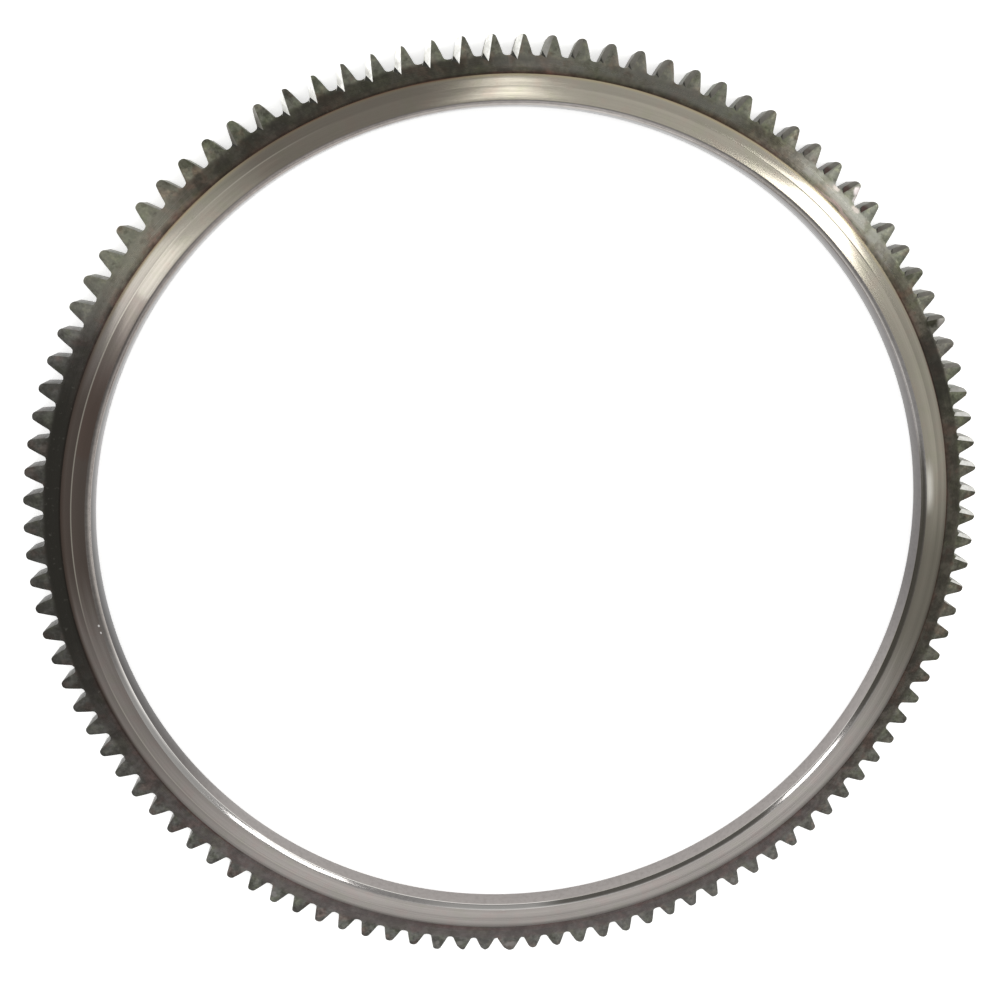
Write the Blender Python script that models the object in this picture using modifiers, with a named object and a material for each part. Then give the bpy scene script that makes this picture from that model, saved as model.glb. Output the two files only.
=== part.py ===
"""Flywheel ring gear.

One steel ring, shrunk onto the rim of an engine's flywheel. The blank is turned: a bore with a
lead-in chamfer, a bright face with one fine tool line, and a shallow step down to the toothed
band. The spur teeth are involutes, hobbed right across the blank. Where the engine comes to
rest, the starter pinion has ground a lead-in into the counter-clockwise flank of each tooth's
upper end. The lead-ins are deepest in the middle of that stretch and run out at its ends. On
the opposite side the tips are battered down, and one tooth is spread.

Metres, +Z up. The ring lies flat on its back face, with the starter's side up, its axis on Z
and the middle of a tooth on +X.
"""

import math

import bmesh
import bpy
from mathutils import Matrix, Vector

# Teeth
TOOTH_COUNT = 110
MODULE = 0.00254            # pitch diameter divided by the number of teeth
PRESSURE_ANGLE = math.radians(20.0)
TOOTH_DEPTH = 0.00526       # tip circle to root circle
BACKLASH = 0.00010          # taken off the tooth's thickness at the pitch circle
TIP_ROUND = 0.00085         # how far the rounding of a tip corner reaches along its sides
ROOT_ROUND = 0.00080        # the same for the fillet at the tooth's foot

# Turned ring, from the root circle inwards
TOOTHED_BAND = 0.00450      # plain width below the teeth, at the level of their ends
OUTER_BAND = 0.00290        # bright face outside the tool line
TOOL_LINE_WIDTH = 0.00030
TOOL_LINE_DEPTH = 0.00012
INNER_BAND = 0.00370        # bright face inside the tool line
BORE_CHAMFER = 0.00120      # width of the lead-in at the mouth of the bore
BORE_CHAMFER_DEPTH = 0.00130
BACK_CHAMFER = 0.00040      # edge break at the back of the bore

# Thickness
RING_WIDTH = 0.00750        # back face to bright face
FACE_STEP = 0.00050         # bright face down to the toothed band
FACE_STEP_RUN = 0.00012     # how far the step's wall leans outwards

# Lead-ins worn into the ends of the teeth
LEAD_IN_SLOPE = math.radians(42.0)       # of the lead-in's face, below the end of the tooth
LEAD_IN_WIDTH = 0.00300                  # of the face, from the crest down
LEAD_IN_WALL_SKEW = math.radians(27.0)   # of the wall at its inner end, off the tangent
LEAD_IN_WALL_LEAN = math.radians(45.0)   # of that wall, off upright

# How a lead-in's crest lies, at some places round the ring and between them in proportion:
# degrees counter-clockwise from +X, how far inside the root circle the crest starts, the crest's
# offset from the tooth's middle there and at the tip circle, and how far the cutter is lifted
LEAD_IN_COURSE = (
    (-16.5, 0.00000, 0.00200, 0.00040, 0.00210),
    (-8.0, 0.00000, 0.00170, 0.00020, 0.00040),
    (6.5, 0.00000, 0.00130, -0.00020, 0.00000),
    (13.0, 0.00000, 0.00170, -0.00015, 0.00000),
    (39.0, 0.00000, 0.00150, 0.00000, 0.00000),
    (85.0, 0.00010, 0.00150, -0.00030, 0.00000),
    (95.0, 0.00140, 0.00120, -0.00040, 0.00000),
    (105.0, 0.00140, 0.00130, -0.00040, 0.00000),
    (115.0, 0.00140, 0.00125, -0.00005, 0.00000),
    (125.0, 0.00140, 0.00140, 0.00015, 0.00045),
    (127.0, 0.00140, 0.00140, 0.00015, 0.00210),
)

# Battered teeth, counted counter-clockwise from the one on +X: how far the middle of the tip is
# down, then for the counter-clockwise and for the clockwise half how much further down its
# corner is and how many times as thick the half has become
BATTERED_TEETH = {
    90: (0.00057, 0.00000, 1.00, 0.00000, 1.00),
    89: (0.00057, 0.00000, 1.00, 0.00020, 1.00),
    88: (0.00028, 0.00000, 1.00, 0.00020, 1.08),
    87: (0.00028, 0.00000, 1.00, 0.00030, 1.10),
    86: (0.00028, 0.00000, 1.00, 0.00030, 1.12),
    85: (0.00028, 0.00000, 1.00, 0.00040, 1.15),
    84: (0.00057, 0.00000, 1.00, 0.00060, 1.12),
    83: (0.00071, 0.00010, 1.00, 0.00030, 1.05),
    82: (0.00040, 0.00000, 1.34, 0.00060, 1.42),
    81: (0.00070, 0.00030, 1.00, 0.00050, 1.18),
    80: (0.00070, -0.00040, 1.00, 0.00070, 1.15),
    78: (0.00057, 0.00000, 1.00, 0.00000, 1.00),
    77: (0.00043, 0.00000, 1.00, 0.00000, 1.00),
}
WHOLE_TOOTH = (0.0, 0.0, 1.0, 0.0, 1.0)

# Fineness of the facets
RING_STEPS = TOOTH_COUNT    # one facet of the turned faces for each tooth
FLANK_STEPS = 3
ROUND_STEPS = 2

# Cutters stand clear of the surfaces that they don't cut
CLEAR = 0.00100

PITCH_RADIUS = TOOTH_COUNT * MODULE / 2
TIP_RADIUS = PITCH_RADIUS + MODULE
ROOT_RADIUS = TIP_RADIUS - TOOTH_DEPTH
BASE_RADIUS = PITCH_RADIUS * math.cos(PRESSURE_ANGLE)
STEP_RADIUS = ROOT_RADIUS - TOOTHED_BAND
TOOL_LINE_RADIUS = STEP_RADIUS - OUTER_BAND
FACE_INNER_RADIUS = TOOL_LINE_RADIUS - INNER_BAND
BORE_RADIUS = FACE_INNER_RADIUS - BORE_CHAMFER
TOOTH_TOP = RING_WIDTH - FACE_STEP
TOOTH_ANGLE = 2 * math.pi / TOOTH_COUNT


def clear_scene():
    for old in list(bpy.data.objects):
        bpy.data.objects.remove(old, do_unlink=True)


def add_collection(name):
    collection = bpy.data.collections.new(name)
    bpy.context.scene.collection.children.link(collection)
    return collection


def steel():
    material = bpy.data.materials.new("turned_steel")
    material.use_nodes = True
    shader = material.node_tree.nodes["Principled BSDF"]
    shader.inputs["Base Color"].default_value = (0.33, 0.31, 0.29, 1.0)
    shader.inputs["Metallic"].default_value = 0.95
    shader.inputs["Roughness"].default_value = 0.38
    return material


def polar(radius, angle):
    return Vector((radius * math.cos(angle), radius * math.sin(angle)))


def bend(start, corner, end):
    """Points of the round stretch from start to end that replaces a corner."""
    points = []
    for step in range(ROUND_STEPS + 1):
        share = step / ROUND_STEPS
        first = start.lerp(corner, share)
        second = corner.lerp(end, share)
        points.append(first.lerp(second, share))
    return points


def involute(angle):
    return math.tan(angle) - angle


def half_tooth(radius):
    """Half the tooth's thickness at a radius, as an angle about the ring's axis."""
    pitch_half = (math.pi * MODULE / 2 - BACKLASH) / 2 / PITCH_RADIUS
    pressure = math.acos(min(1.0, BASE_RADIUS / radius))
    return pitch_half + involute(PRESSURE_ANGLE) - involute(pressure)


def tooth_side(drop, slant, spread):
    """One side of a tooth, from its tip to the middle of the space beside it."""
    tip_radius = TIP_RADIUS - drop
    tip_half = half_tooth(tip_radius) * spread
    root_half = min(TOOTH_ANGLE / 2, half_tooth(ROOT_RADIUS) * spread)
    flank_top = tip_radius - TIP_ROUND
    flank_foot = ROOT_RADIUS + ROOT_ROUND
    points = bend(
        polar(tip_radius, max(0.0, tip_half - TIP_ROUND / tip_radius)),
        polar(tip_radius, tip_half),
        polar(flank_top, half_tooth(flank_top) * spread),
    )
    for step in range(1, FLANK_STEPS):
        radius = flank_top + (flank_foot - flank_top) * step / FLANK_STEPS
        points.append(polar(radius, half_tooth(radius) * spread))
    points += bend(
        polar(flank_foot, half_tooth(flank_foot) * spread),
        polar(ROOT_RADIUS, root_half),
        polar(ROOT_RADIUS, min(TOOTH_ANGLE / 2, root_half + ROOT_ROUND / ROOT_RADIUS)),
    )
    return [slanted(point, slant, tip_radius, tip_half) for point in points]


def slanted(point, slant, tip_radius, tip_half):
    """A point of a tooth's side, lowered in proportion to its height and its distance across."""
    up = max(0.0, (point.length - ROOT_RADIUS) / (tip_radius - ROOT_RADIUS))
    across = min(1.0, math.atan2(point.y, point.x) / tip_half)
    return point * (1 - slant * up * across / point.length)


def toothed_outline():
    """The whole outline of the teeth, once round the ring."""
    outline = []
    for index in range(TOOTH_COUNT):
        drop, left_slant, left_spread, right_slant, right_spread = BATTERED_TEETH.get(
            index, WHOLE_TOOTH)
        right = tooth_side(drop, right_slant, right_spread)
        clockwise = [Vector((point.x, -point.y)) for point in right]
        tooth = clockwise[::-1] + tooth_side(drop, left_slant, left_spread)
        turn = Matrix.Rotation(index * TOOTH_ANGLE, 2)
        outline += [turn @ point for point in tooth]
    return outline


def ring_profile():
    """Section of the blank: along the face, down the outer side, across the back, up the bore."""
    line_half = TOOL_LINE_WIDTH / 2
    blank_radius = TIP_RADIUS + CLEAR
    return [
        (FACE_INNER_RADIUS, RING_WIDTH),
        (TOOL_LINE_RADIUS - line_half, RING_WIDTH),
        (TOOL_LINE_RADIUS, RING_WIDTH - TOOL_LINE_DEPTH),
        (TOOL_LINE_RADIUS + line_half, RING_WIDTH),
        (STEP_RADIUS - FACE_STEP_RUN, RING_WIDTH),
        (STEP_RADIUS, TOOTH_TOP),
        (blank_radius, TOOTH_TOP),
        (blank_radius, 0.0),
        (BORE_RADIUS + BACK_CHAMFER, 0.0),
        (BORE_RADIUS, BACK_CHAMFER),
        (BORE_RADIUS, RING_WIDTH - BORE_CHAMFER_DEPTH),
    ]


def add_blank(collection):
    """The turned ring, larger outside than the teeth."""
    profile = ring_profile()
    count = len(profile)
    mesh = bpy.data.meshes.new("ring_gear")
    vertices = [(radius, 0.0, height) for radius, height in profile]
    edges = [(index, (index + 1) % count) for index in range(count)]
    mesh.from_pydata(vertices, edges, [])
    blank = bpy.data.objects.new("ring_gear", mesh)
    collection.objects.link(blank)
    screw = blank.modifiers.new("turned", "SCREW")
    screw.axis = "Z"
    screw.steps = RING_STEPS
    screw.render_steps = RING_STEPS
    screw.use_merge_vertices = True
    screw.merge_threshold = 0.00001
    screw.use_normal_calculate = False
    return blank


def as_cutter(cutter, collection):
    cutter.hide_render = True
    cutter.display_type = "WIRE"
    collection.objects.link(cutter)
    return cutter


def add_hobbed_form(collection):
    """A disc with the outline of the teeth, which the blank is trimmed to."""
    outline = toothed_outline()
    curve = bpy.data.curves.new("hobbed_form", "CURVE")
    curve.dimensions = "2D"
    curve.fill_mode = "BOTH"
    curve.extrude = RING_WIDTH / 2 + CLEAR
    spline = curve.splines.new("POLY")
    spline.points.add(len(outline) - 1)
    for place, point in zip(spline.points, outline):
        place.co = (point.x, point.y, 0.0, 1.0)
    spline.use_cyclic_u = True
    drawn = bpy.data.objects.new("hobbed_form_curve", curve)
    drawn.location.z = RING_WIDTH / 2
    collection.objects.link(drawn)
    bpy.context.view_layer.update()
    shape = drawn.evaluated_get(bpy.context.evaluated_depsgraph_get())
    mesh = bpy.data.meshes.new_from_object(shape)
    placed = drawn.matrix_world.copy()
    bpy.data.objects.remove(drawn, do_unlink=True)
    weld(mesh)
    form = bpy.data.objects.new("hobbed_form", mesh)
    form.matrix_world = placed
    return as_cutter(form, collection)


def weld(mesh):
    work = bmesh.new()
    work.from_mesh(mesh)
    bmesh.ops.remove_doubles(work, verts=work.verts, dist=0.000001)
    bmesh.ops.recalc_face_normals(work, faces=work.faces)
    work.to_mesh(mesh)
    work.free()


def lead_in_course(degrees):
    """The crest's values at a place round the ring, or None where there is no lead-in."""
    for before, after in zip(LEAD_IN_COURSE, LEAD_IN_COURSE[1:]):
        if before[0] < degrees < after[0]:
            share = (degrees - before[0]) / (after[0] - before[0])
            return [low + (high - low) * share for low, high in zip(before[1:], after[1:])]
    return None


def lead_in_block(sink, root_offset, tip_offset, lift):
    """Placing of a unit cube that becomes the skewed block which cuts one lead-in."""
    crest_start = Vector((ROOT_RADIUS - sink, root_offset, TOOTH_TOP + lift))
    crest_end = Vector((TIP_RADIUS, tip_offset, TOOTH_TOP + lift))
    along = (crest_end - crest_start).normalized()
    across = Vector((-along.y, along.x, 0.0))
    down = across * math.cos(LEAD_IN_SLOPE) - Vector((0, 0, 1)) * math.sin(LEAD_IN_SLOPE)
    wall_edge = Vector((math.sin(LEAD_IN_WALL_SKEW), math.cos(LEAD_IN_WALL_SKEW), 0.0))
    inwards = Vector((-wall_edge.y, wall_edge.x, 0.0))
    up = inwards * math.sin(LEAD_IN_WALL_LEAN) + Vector((0, 0, 1)) * math.cos(LEAD_IN_WALL_LEAN)
    foot = along.cross(down).cross(wall_edge.cross(up)).normalized()
    if foot.y < 0:
        foot.negate()
    length = (crest_end - crest_start).length + 3 * CLEAR
    width = LEAD_IN_WIDTH + CLEAR
    height = LEAD_IN_WIDTH * 2
    corner = crest_start - foot * CLEAR
    middle = corner + (along * length + foot * width + up * height) / 2
    block = Matrix.Identity(4)
    block.col[0].xyz = along * length
    block.col[1].xyz = foot * width
    block.col[2].xyz = up * height
    block.translation = middle
    return block


def add_lead_in_cutter(collection):
    """One block for each tooth that has a lead-in, all in one cutter."""
    work = bmesh.new()
    for index in range(-TOOTH_COUNT // 2, TOOTH_COUNT // 2):
        course = lead_in_course(math.degrees(index * TOOTH_ANGLE))
        if course is None:
            continue
        turn = Matrix.Rotation(index * TOOTH_ANGLE, 4, "Z")
        bmesh.ops.create_cube(work, size=1.0, matrix=turn @ lead_in_block(*course))
    bmesh.ops.recalc_face_normals(work, faces=work.faces)
    mesh = bpy.data.meshes.new("lead_in_cutter")
    work.to_mesh(mesh)
    work.free()
    return as_cutter(bpy.data.objects.new("lead_in_cutter", mesh), collection)


def add_boolean(target, name, operation, cutter):
    boolean = target.modifiers.new(name, "BOOLEAN")
    boolean.operation = operation
    boolean.object = cutter
    boolean.solver = "EXACT"


def shade(thing):
    """Round faces are smooth, and the edges between faces stay crisp."""
    bpy.context.view_layer.update()
    shape = thing.evaluated_get(bpy.context.evaluated_depsgraph_get())
    mesh = bpy.data.meshes.new_from_object(shape)
    thing.modifiers.clear()
    thing.data = mesh
    mesh.shade_smooth()
    mesh.set_sharp_from_angle(angle=math.radians(25))


def build():
    clear_scene()
    parts = add_collection("flywheel_ring_gear")
    cutters = add_collection("cutters")
    ring = add_blank(parts)
    add_boolean(ring, "hobbed_teeth", "INTERSECT", add_hobbed_form(cutters))
    add_boolean(ring, "worn_lead_ins", "DIFFERENCE", add_lead_in_cutter(cutters))
    shade(ring)
    ring.data.materials.clear()
    ring.data.materials.append(steel())


build()
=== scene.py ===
"""Flywheel ring gear, finished: bright turned face and dark worn teeth, on a pale floor.

Metres, +Z up. The ring lies flat on its back face, with its axis on Z and a tooth on +X.
"""

import math

import bmesh
import bpy
from mathutils import Matrix, Vector


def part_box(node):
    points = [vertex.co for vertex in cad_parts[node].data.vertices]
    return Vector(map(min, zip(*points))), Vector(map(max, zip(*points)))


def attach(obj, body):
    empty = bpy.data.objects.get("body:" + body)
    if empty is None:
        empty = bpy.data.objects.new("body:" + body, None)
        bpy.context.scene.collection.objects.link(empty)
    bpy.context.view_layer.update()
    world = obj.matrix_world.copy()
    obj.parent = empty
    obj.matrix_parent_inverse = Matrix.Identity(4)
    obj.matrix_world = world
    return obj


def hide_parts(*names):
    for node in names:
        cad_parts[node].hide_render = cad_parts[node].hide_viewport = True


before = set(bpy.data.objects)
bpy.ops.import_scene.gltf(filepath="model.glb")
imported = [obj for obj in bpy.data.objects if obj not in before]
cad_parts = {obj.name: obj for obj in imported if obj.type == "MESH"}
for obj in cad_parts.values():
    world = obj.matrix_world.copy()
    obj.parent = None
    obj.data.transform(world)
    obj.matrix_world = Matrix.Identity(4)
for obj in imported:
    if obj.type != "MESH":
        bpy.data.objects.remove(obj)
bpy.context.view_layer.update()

bl_info = {
    "name": "Flywheel ring gear",
    "version": (1, 0, 0),
    "blender": (4, 5, 0),
    "location": "3D View > Sidebar > Ring gear",
    "description": "Adds a worn flywheel ring gear, its finish, floor, lamps and camera",
    "category": "Add Mesh",
}

NODE = "ring_gear"
NODE_LOW, NODE_HIGH = (Vector(corner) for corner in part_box(NODE))

# Teeth
TOOTH_COUNT = 110
MODULE = 0.00254
PRESSURE_ANGLE = math.radians(20.0)
BACKLASH = 0.00010
TOOTH_ANGLE = 2 * math.pi / TOOTH_COUNT
PITCH_RADIUS = TOOTH_COUNT * MODULE / 2
BASE_RADIUS = PITCH_RADIUS * math.cos(PRESSURE_ANGLE)
CLEAR = 0.00001             # places closer than this count as the same
FLANK_LEVELS = 7
FOOT_LEVELS = 4
FOOT_OVERLAP = 0.0012       # how far a tooth reaches into the ring's body
FOOT_DIP = 0.00008          # the end of the foot's fillet, below the root circle
TIP_ROUND_STEPS = 4
TOOTH_ROOM = 0.498          # the most that half a tooth may fill of the way to the next one
SPIN_STEPS = 4 * TOOTH_COUNT
START_PLANE = 0.001         # the plane that the section is drawn from, before it shrinks to a point

# Lead-ins worn into the teeth. Rows: degrees counter-clockwise from +X, how far inside the root
# circle the crest starts, its offset from the tooth's middle there and at the tip, and the lift
LEAD_IN_SLOPE = math.radians(42.0)
LEAD_IN_WIDTH = 0.00300
LEAD_IN_MARGIN = 0.001      # how far a block stands out of the ring behind its crest
LEAD_IN_OVERRUN = 0.003     # and how far past the tooth's tip
LEAD_IN_WALL_SKEW = math.radians(27.0)
LEAD_IN_WALL_LEAN = math.radians(45.0)
LEAD_IN_COURSE = (
    (-16.5, 0, 0.002, 0.0004, 0.0021),
    (-8.0, 0, 0.0017, 0.0002, 0.0004),
    (6.5, 0, 0.0013, -0.0002, 0),
    (13.0, 0, 0.0017, -0.00015, 0),
    (39.0, 0, 0.0015, 0, 0),
    (85.0, 0.0001, 0.0015, -0.0003, 0),
    (95.0, 0.0014, 0.0012, -0.0004, 0),
    (105.0, 0.0014, 0.0013, -0.0004, 0),
    (115.0, 0.0014, 0.00125, -0.00005, 0),
    (125.0, 0.0014, 0.0014, 0.00015, 0.00045),
    (127.0, 0.0014, 0.0014, 0.00015, 0.0021),
)

# Counter-clockwise of this the walls carry a painted shadow
SHADOWED_WALLS_FROM = 26.0     # degrees; further clockwise the walls are ground bright

# Battered teeth, counted counter-clockwise from the one on +X: how far the middle of the tip is
# down, then for the counter-clockwise and for the clockwise half how much further down its
# corner is and how many times as thick the half has become
BATTERED_TEETH = {
    90: (0.00057, 0, 1, 0, 1),
    89: (0.00057, 0, 1, 0.0002, 1),
    88: (0.00028, 0, 1, 0.0002, 1.08),
    87: (0.00028, 0, 1, 0.0003, 1.1),
    86: (0.00028, 0, 1, 0.0003, 1.12),
    85: (0.00028, 0, 1, 0.0004, 1.15),
    84: (0.00057, 0, 1, 0.0006, 1.12),
    83: (0.00071, 0.0001, 1, 0.0003, 1.05),
    82: (0.0004, 0, 1.34, 0.0006, 1.42),
    81: (0.0007, 0.0003, 1, 0.0005, 1.18),
    80: (0.0007, -0.0004, 1, 0.0007, 1.15),
    78: (0.00057, 0, 1, 0, 1),
    77: (0.00043, 0, 1, 0, 1),
}
WHOLE_TOOTH = (0, 0, 1, 0, 1)

BUMP_DEPTH = 0.0002         # how high the grain stands
BEVEL_STEPS = 2
BEVEL_FROM = math.radians(32)       # edges at least this sharp are broken
SMOOTH_UP_TO = math.radians(24)     # and flatter ones are shaded smooth

# Grain of the steel: how fine it is, its detail and its roughness
BLOTCHES = (55, 4, 0.6)
MOTTLE = (260, 4, 0.6)
HUES = (230, 3, 0.5)
SPECKLE = (430, 4, 0.68)
GRIME = (700, 4, 0.65)
SCRATCHES = (900, 3, 0.6)
STAINS = (300, 3, 0.6)

# Streaks round the ring: how fine they are along it and across it, and the same two values
FINE_STREAKS = (3, 2600, 3, 0.6)
WIDE_STREAKS = (4.5, 700, 2, 0.5)

# Stretches of the ring: the middle in degrees counter-clockwise from +X, how far it reaches to
# each side, and over how many degrees it fades out
TOP_RIGHT = (70, 74, 30)
STRAW_EDGE = (95, 60, 24)
REDDEST = (75, 82, 40)
SOOTY = (180, 32, 30)
INNER_BROWN = (156.2, 11, 1.2)
GLINTING = (8.1, 2.6, 4.4)
LIT_LINE = (154, 34, 16)
DIMLY_LIT_LINE = (-136, 26, 12)
DARK_LINE = (49, 9, 6)
LIT_CHAMFER = ((-92, 11, 9), (-150, 13, 14))
LIT_CORNER = (-88, 70, 20)
SHADED_CORNER = (32, 44, 20)
YELLOWED_TEETH = (50, 80, 60)
STRAW_TEETH = (138, 12, 12)
SHADOWED_TEETH = (76, 11, 14)
PALE_BAND = (-92, 48, 40)
SHADED_FLANKS = (50, 14, 10)
LIT_STEP = (47, 11, 6)
PALE_STEP = (-92, 40, 30)
RIPPLE = (48.8, 4.2, 2.4)
RIPPLE_CREST = (49.5, 1, 5)
LIT_LEAD_INS = (105, 15, 5)
HALF_LIT_LEAD_INS = (5, 14, 9)
RUSTY_LEAD_INS = (50, 6.5, 4)

# Films on the bright face: colour, stretch, how ragged its ends are, and strength
FILMS = (
    ("brown_film", (171, 20, 22), 0.10, 0.94),
    ("brown_film", (201, 20, 40), 0.10, 0.62),
    ("brown_film", (113, 15, 14), 0.12, 0.66),
    ("olive_film", (-8, 13, 18), 0.10, 0.82),
    ("olive_film", (2, 36, 22), 0.06, 0.34),
)

# Painted shade on the chamfer and bore, where the polished steel reflects darker surroundings:
# stretch, and what the colour is multiplied by
CHAMFER_PAINTED_SHADE = (
    ((-8, 16, 12), (0.42, 0.40, 0.37)),
    ((132, 34, 30), (0.41, 0.39, 0.38)),
    ((76, 30, 30), (0.58, 0.57, 0.56)),
    ((180, 22, 30), (0.55, 0.53, 0.51)),
)
BORE_PAINTED_SHADE = (
    ((30, 44, 22), (0.52, 0.52, 0.53)),
    ((140, 70, 30), (0.24, 0.23, 0.23)),
    ((-162, 20, 16), (0.55, 0.54, 0.53)),
)

# Painted shade line on the chamfer, pale teeth, and painted highlights on the band: stretch and
# strength
CHAMFER_SHADE_LINE = (((-8, 22, 8), 0.90), ((-67, 19, 6), 0.88), ((45, 16, 8), 0.35))
PALE_TEETH = (((-72, 24, 20), 0.25), ((105, 7, 8), 0.18), ((27.5, 5, 6), 0.28))
LIT_BAND = (((48, 9, 5), 0.46), ((143, 9, 5), 0.34), ((80, 15, 5), 0.22))

# Band dark with oil: stretch, strength, and the share of it on the teeth
OILY_BAND = (
    ((176, 25, 26), 1.00, 0.62),
    ((-156, 16, 18), 0.34, 1.00),
    ((112, 20, 14), 0.60, 0.30),
    ((24, 5.5, 5), 0.75, 0.10),
    ((-2, 24, 20), 0.42, 0.35),
)

# Single marks: degrees, distance from the axis, reach, and how many times as long it is round
# the ring. Marks on the toothed band have a colour before these and a strength after them
# Pale specks on the chamfer; the two near -92 degrees are painted glints
CHAMFER_SPECKS_AND_GLINTS = (
    (-170.2, 0.1263, 0.0004, 1.3),
    (-169.2, 0.1263, 0.0003, 1.6),
    (-92.8, 0.1255, 0.0006, 2.0),
    (-91.0, 0.1255, 0.0004, 3.2),
)
BAND_MARKS_AND_GLINTS = (
    # The four rows from 47 to 51 degrees are painted glints along burrs on a tooth's flank and root
    ((0.90, 0.82, 0.80), (48.6, 0.1403, 0.0018, 0.8), 0.85),
    ((0.84, 0.77, 0.75), (48.1, 0.1382, 0.0012, 0.8), 0.70),
    ((0.62, 0.53, 0.49), (47.2, 0.1365, 0.0010, 1.9), 0.45),
    ((0.70, 0.62, 0.57), (50.8, 0.1366, 0.0009, 2.0), 0.45),
    ((0.50, 0.48, 0.45), (29.1, 0.1410, 0.0020, 1.2), 0.45),
    ((0.02, 0.02, 0.01), (29.8, 0.1382, 0.0029, 0.9), 0.95),
    ((0.02, 0.02, 0.01), (36.3, 0.1380, 0.0018, 0.9), 0.60),
    ((0.42, 0.39, 0.37), (-91.4, 0.1394, 0.0012, 2.4), 0.60),
    ((0.40, 0.39, 0.36), (-98.4, 0.1393, 0.0013, 1.2), 0.45),
    ((0.45, 0.43, 0.42), (-124.8, 0.1396, 0.0012, 1.4), 0.40),
    ((0.42, 0.40, 0.37), (-101.5, 0.1397, 0.0013, 0.7), 0.42),
    ((0.40, 0.38, 0.36), (-59.0, 0.1400, 0.0014, 0.7), 0.45),
)

# Colours of small places. A tint is what the colour under it is multiplied by
RED_BROWN_TINT = (1.25, 1.02, 0.96)
GLINT = (1.00, 0.97, 0.88)
LINE_IN_LIGHT = (0.66, 0.62, 0.53)
LINE_IN_SHADE = (0.03, 0.03, 0.025)
SOOT = (0.070, 0.052, 0.042)
PAINTED_CHAMFER_LIGHT = (1.00, 0.97, 0.93)
PAINTED_CORNER_LIGHT = (0.66, 0.64, 0.61)
CORNER_SHADE_TINT = (0.40, 0.39, 0.38)
PAINTED_LINE_SHADE = (0.165, 0.153, 0.122)
SPECK_AND_GLINT = (1.00, 0.97, 0.94)
PAINTED_SHADOW = (0.03, 0.03, 0.02)
PALE_STEEL = (0.215, 0.185, 0.182)
PAINTED_BAND_HIGHLIGHT = (0.40, 0.40, 0.36)
PALE_TOOTH = (0.31, 0.30, 0.28)
SHADED_TINT = (0.55, 0.52, 0.54)
PINK_TINT = (1.12, 0.86, 0.84)
STEP_TINT = (0.58, 0.41, 0.37)
DUST = (0.24, 0.23, 0.20)
RUST = (0.085, 0.050, 0.042)

# Camera and lamps. A lamp's row: name, place, the point on the ring that it makes shine, its
# width along the ring and across it, and its brightness
CAMERA_PLACE = Vector((-0.03448, 0.09850, 0.31719))
CAMERA_AIM = Vector((0.01212, 0.00783, 0.00700))
CAMERA_ROLL = math.radians(-1.642)
CAMERA_SHIFT = (-0.0682, 0.0214)
SENSOR_WIDTH = 36.0
LAMPS = (
    ("Window lamp", (0.296, 0.0970, 0.569), (0.085, 0.096, 0.0), 0.072, 0.300, 4.2),
    ("Side lamp", (-0.236, 0.040, 0.569), (-0.100, 0.079, 0.0), 0.080, 0.250, 0.93),
    ("Ceiling lamp", (0.040, 0.180, 0.569), (-0.006, 0.128, 0.0), 0.045, 0.200, 1.5),
    ("Left chamfer lamp", (-0.504, 0.2695, 0.403), (0.0965, -0.080, 0.0), 0.155, 0.170, 3.4),
    ("Right chamfer lamp", (0.423, 0.292, 0.303), (-0.077, -0.099, 0.0), 0.215, 0.140, 3.6),
    ("Left low lamp", (-0.806, 0.2475, 0.104), (-0.020, 0.137, 0.0), 0.500, 0.140, 5.0),
    ("Right low lamp", (0.650, 0.608, 0.186), (0.139, 0.020, 0.0), 0.420, 0.140, 1.9),
)
FLOOR_SIZE = 6.0
WHITE = (1.0, 1.0, 1.0)

# Where polished steel sees the light change: the upward part of the direction, start and end
HORIZON = (0.04, 0.28)
CEILING = (0.56, 0.80)
ZENITH = (0.82, 0.98)


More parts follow.
